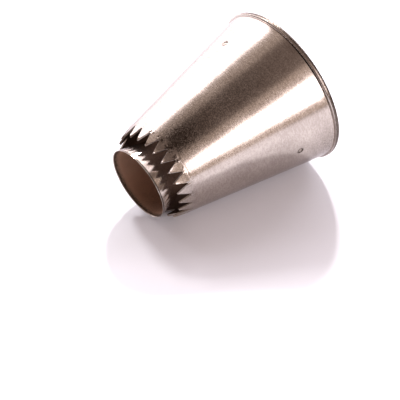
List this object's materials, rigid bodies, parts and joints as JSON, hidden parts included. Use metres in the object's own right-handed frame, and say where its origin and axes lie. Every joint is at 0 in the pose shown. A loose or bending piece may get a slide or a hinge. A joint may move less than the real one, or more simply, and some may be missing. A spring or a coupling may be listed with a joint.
{
  "type": "piping nozzle",
  "caption": "Sultane piping nozzle for ring biscuits: a toothed steel cone with a hollow centre cone held inside it on welded legs.",
  "frame": {"origin": "centre of the wide rim's plane, which the nozzle stands on", "axes": "+Z along the nozzle's axis towards the toothed outlet, +Y towards the rear leg"},
  "size_m": [0.045, 0.045, 0.0507],
  "materials": {
    "shell_steel": "semi-polished, faint lengthwise grain",
    "cone_steel": "semi-polished outside, duller inside",
    "leg_steel": "mill finish strip",
    "weld_steel": "dull, slightly heat-tinted"
  },
  "bodies": {
    "root": {"outer_cone": "shell_steel", "centre_cone": "cone_steel", "rear_leg": "leg_steel", "left_leg": "leg_steel", "right_leg": "leg_steel", "shell_welds": "weld_steel", "cone_welds": "weld_steel"}
  },
  "joints": []
}
